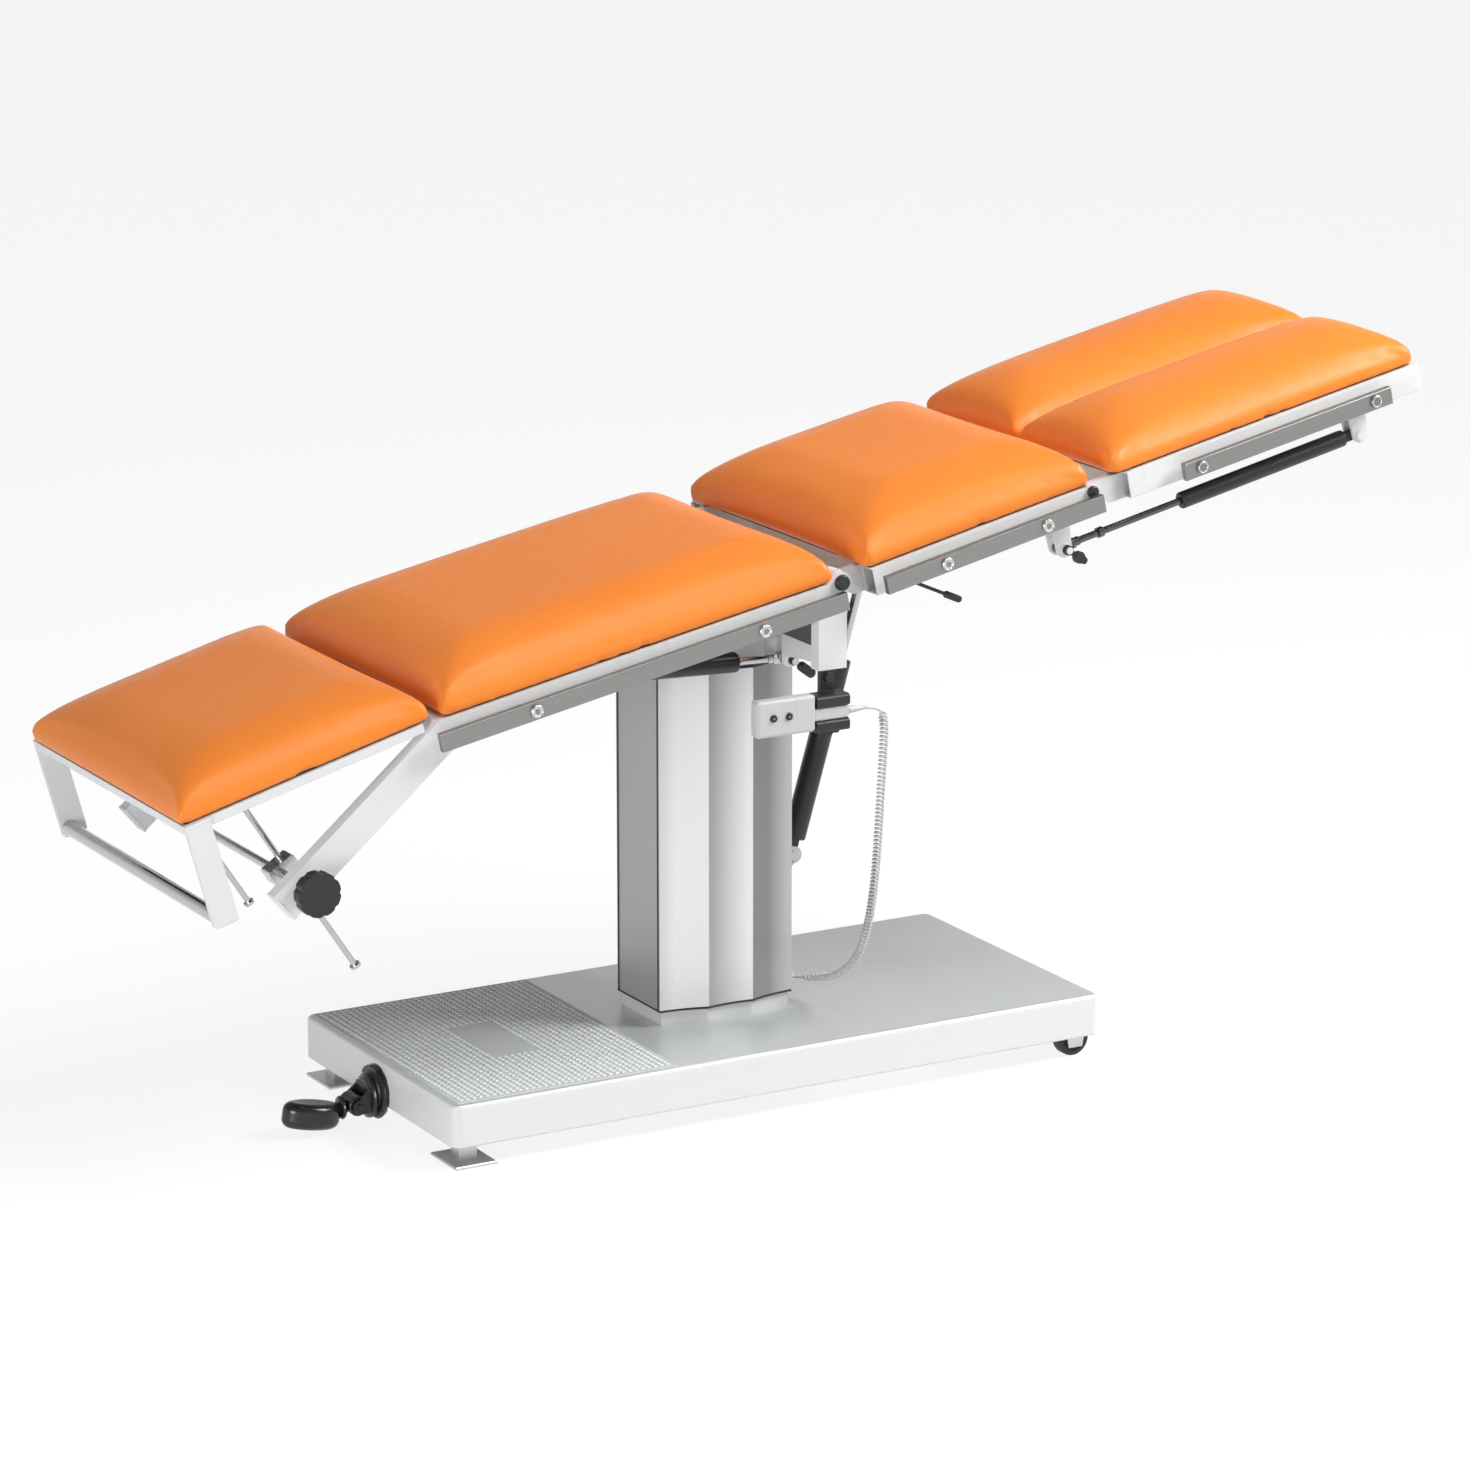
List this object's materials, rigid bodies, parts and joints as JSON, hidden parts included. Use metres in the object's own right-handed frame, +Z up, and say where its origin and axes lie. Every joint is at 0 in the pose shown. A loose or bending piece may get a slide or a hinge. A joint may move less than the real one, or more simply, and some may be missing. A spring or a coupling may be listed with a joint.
{
  "type": "operating table",
  "caption": "Operating table with an orange pad in sections for head, back, seat and split legs, a lifting column, gas springs, a corded handset and a base with a foot pedal",
  "frame": {"origin": "on the floor, below the middle of the length and width of the table", "axes": "+X to the leg end, +Y to the far side, +Z up"},
  "size_m": [1.9262, 0.572, 0.9952],
  "materials": {
    "orange_leatherette": "smooth satin leatherette",
    "pad_board": "matt black",
    "white_coat": "semi-gloss powder coat",
    "grey_coat": "semi-gloss powder coat",
    "silver_panel": "satin",
    "stainless": "brushed",
    "chrome": "polished",
    "zinc_steel": "satin",
    "black_plastic": "matt black",
    "black_rubber": "matt",
    "mat_rubber": "light grey studded mat",
    "light_plastic": "fine matt",
    "cord_plastic": "light grey",
    "wheel_tyre": "matt",
    "black_metal": "satin black"
  },
  "bodies": {
    "base": {"base_cover": "white_coat", "tread_mat": "mat_rubber", "base_frame": "zinc_steel", "foot_plates": "zinc_steel", "castor_brackets": "zinc_steel", "pedal_rosette": "black_plastic", "inner_mast": "zinc_steel", "lift_actuator": "black_metal"},
    "wheel_near": {"castor_wheel_near": "wheel_tyre"},
    "wheel_far": {"castor_wheel_far": "wheel_tyre"},
    "pedal": {"foot_pedal": "black_rubber"},
    "column": {"side_panel_near": "silver_panel", "side_panel_far": "silver_panel", "end_panels": "silver_panel", "panel_gaskets": "black_rubber", "top_plate": "black_metal", "slide_guides": "black_plastic", "carrier": "white_coat", "main_pivot_pins": "black_metal", "tilt_bracket": "grey_coat", "handset_holder": "black_plastic", "handset": "light_plastic", "cord_gland": "black_plastic", "handset_cord": "cord_plastic"},
    "button_down": {"button_down": "black_plastic"},
    "button_up": {"button_up": "black_plastic"},
    "back": {"back_frame": "white_coat", "back_pad": "orange_leatherette", "back_rails": "stainless", "back_rail_screws": "stainless", "head_arms": "white_coat"},
    "back_spring_foot": {"back_spring_rod": "chrome"},
    "back_spring_tube": {"back_spring_barrel": "black_metal"},
    "back_lever": {"back_release_lever": "black_plastic"},
    "seat": {"seat_frame": "white_coat", "seat_pad": "orange_leatherette", "seat_rails": "stainless", "seat_rail_screws": "stainless", "leg_pivot_pins": "black_metal"},
    "tilt_tube": {"tilt_barrel": "black_metal"},
    "tilt_piston": {"tilt_rod": "chrome"},
    "seat_lever": {"seat_release_lever": "black_plastic"},
    "head_hinge": {"head_shaft": "stainless"},
    "head": {"head_frame": "white_coat", "head_pad": "orange_leatherette", "head_tube": "chrome", "head_rods": "stainless"},
    "knob": {"star_knob": "black_plastic"},
    "leg_near": {"leg_frame_near": "white_coat", "leg_pad_near": "orange_leatherette", "leg_rail_near": "stainless"},
    "leg_spring_foot_near": {"leg_spring_rod_near": "chrome"},
    "leg_spring_tube_near": {"leg_spring_barrel_near": "black_metal"},
    "leg_lever_near": {"leg_release_lever_near": "black_plastic"},
    "leg_far": {"leg_frame_far": "white_coat", "leg_pad_far": "orange_leatherette", "leg_rail_far": "stainless"},
    "leg_spring_foot_far": {"leg_spring_rod_far": "chrome"},
    "leg_spring_tube_far": {"leg_spring_barrel_far": "black_metal"},
    "leg_lever_far": {"leg_release_lever_far": "black_plastic"}
  },
  "joints": [
    {"name": "column_lift", "type": "slide", "parent": "base", "child": "column", "axis": [0, 0, 1], "range_m": [0, 0.3]},
    {"name": "wheel_near_roll", "type": "hinge", "parent": "base", "child": "wheel_near", "pos_m": [0.414, -0.212, 0.025], "axis": [0, 1, 0], "continuous": true},
    {"name": "wheel_far_roll", "type": "hinge", "parent": "base", "child": "wheel_far", "pos_m": [0.414, 0.212, 0.025], "axis": [0, 1, 0], "continuous": true},
    {"name": "pedal_swing", "type": "hinge", "parent": "base", "child": "pedal", "pos_m": [-0.606, 0, 0.033], "axis": [0, 1, 0], "range_deg": [0, 20]},
    {"name": "button_down_press", "type": "slide", "parent": "column", "child": "button_down", "axis": [0, 1, 0], "range_m": [0, 0.0015], "stiffness_N_per_m": 600},
    {"name": "button_up_press", "type": "slide", "parent": "column", "child": "button_up", "axis": [0, 1, 0], "range_m": [0, 0.0015], "stiffness_N_per_m": 600},
    {"name": "back_tilt", "type": "hinge", "parent": "column", "child": "back", "pos_m": [0.012, 0, 0.7385], "axis": [0, 1, 0], "range_deg": [0, 70]},
    {"name": "back_spring_swing", "type": "hinge", "parent": "column", "child": "back_spring_foot", "pos_m": [0.014, -0.098, 0.602], "axis": [0, 1, 0], "range_deg": [0, 57.8]},
    {"name": "back_spring_slide", "type": "slide", "parent": "back_spring_foot", "child": "back_spring_tube", "axis": [-0.9992, 0, 0.0406], "range_m": [0, 0.1338]},
    {"name": "back_lever_pull", "type": "hinge", "parent": "column", "child": "back_lever", "pos_m": [0.014, -0.098, 0.602], "axis": [0, 1, 0], "range_deg": [-12, 0], "stiffness_Nm_per_rad": 0.8, "springref_deg": 11.46},
    {"name": "seat_tilt", "type": "hinge", "parent": "column", "child": "seat", "pos_m": [0.012, 0, 0.7385], "axis": [0, 1, 0], "range_deg": [-5, 20]},
    {"name": "tilt_swing", "type": "hinge", "parent": "column", "child": "tilt_tube", "pos_m": [0.078, 0, 0.29], "axis": [0, 1, 0], "range_deg": [-0.24, 0.82]},
    {"name": "tilt_slide", "type": "slide", "parent": "tilt_tube", "child": "tilt_piston", "axis": [0.2825, 0, 0.9593], "range_m": [-0.0682, 0.0173]},
    {"name": "seat_lever_pull", "type": "hinge", "parent": "seat", "child": "seat_lever", "pos_m": [0.14464, -0.1957, 0.71772], "axis": [0, 1, 0], "range_deg": [-12, 0], "stiffness_Nm_per_rad": 0.8, "springref_deg": 11.46},
    {"name": "head_tilt", "type": "hinge", "parent": "back", "child": "head_hinge", "pos_m": [-0.78752, 0, 0.42891], "axis": [0, 1, 0], "range_deg": [-35, 0]},
    {"name": "head_slide", "type": "slide", "parent": "head_hinge", "child": "head", "axis": [-0.5476, 0, 0.8368], "range_m": [0, 0.15]},
    {"name": "knob_turn", "type": "hinge", "parent": "head_hinge", "child": "knob", "pos_m": [-0.78752, -0.28, 0.42891], "axis": [0, 1, 0], "range_deg": [-180, 0]},
    {"name": "leg_near_tilt", "type": "hinge", "parent": "seat", "child": "leg_near", "pos_m": [0.41065, -0.225, 0.82073], "axis": [0, 1, 0], "range_deg": [0, 85]},
    {"name": "leg_near_spring_swing", "type": "hinge", "parent": "seat", "child": "leg_spring_foot_near", "pos_m": [0.37601, -0.225, 0.74135], "axis": [0, 1, 0], "range_deg": [0, 86.93]},
    {"name": "leg_near_spring_slide", "type": "slide", "parent": "leg_spring_foot_near", "child": "leg_spring_tube_near", "axis": [0.9757, 0, 0.2192], "range_m": [-0.1164, 0]},
    {"name": "leg_near_lever_press", "type": "hinge", "parent": "seat", "child": "leg_lever_near", "pos_m": [0.37601, -0.225, 0.74135], "axis": [0, 1, 0], "range_deg": [0, 12], "stiffness_Nm_per_rad": 0.5, "springref_deg": -11.46},
    {"name": "leg_far_tilt", "type": "hinge", "parent": "seat", "child": "leg_far", "pos_m": [0.41065, 0.225, 0.82073], "axis": [0, 1, 0], "range_deg": [0, 85]},
    {"name": "leg_far_spring_swing", "type": "hinge", "parent": "seat", "child": "leg_spring_foot_far", "pos_m": [0.37601, 0.225, 0.74135], "axis": [0, 1, 0], "range_deg": [0, 86.93]},
    {"name": "leg_far_spring_slide", "type": "slide", "parent": "leg_spring_foot_far", "child": "leg_spring_tube_far", "axis": [0.9757, 0, 0.2192], "range_m": [-0.1164, 0]},
    {"name": "leg_far_lever_press", "type": "hinge", "parent": "seat", "child": "leg_lever_far", "pos_m": [0.37601, 0.225, 0.74135], "axis": [0, 1, 0], "range_deg": [0, 12], "stiffness_Nm_per_rad": 0.5, "springref_deg": -11.46}
  ],
  "couplings": [
    {"joint": "back_spring_swing", "follows": "back_tilt", "ratio": 0.825},
    {"joint": "back_spring_slide", "follows": "back_tilt", "m_per_rad": 0.10928},
    {"joint": "tilt_swing", "follows": "seat_tilt", "ratio": 0.03856},
    {"joint": "tilt_slide", "follows": "seat_tilt", "m_per_rad": -0.19453},
    {"joint": "leg_near_spring_swing", "follows": "leg_near_tilt", "ratio": 1.0221},
    {"joint": "leg_near_spring_slide", "follows": "leg_near_tilt", "m_per_rad": -0.07827},
    {"joint": "leg_far_spring_swing", "follows": "leg_far_tilt", "ratio": 1.0221},
    {"joint": "leg_far_spring_slide", "follows": "leg_far_tilt", "m_per_rad": -0.07827}
  ]
}
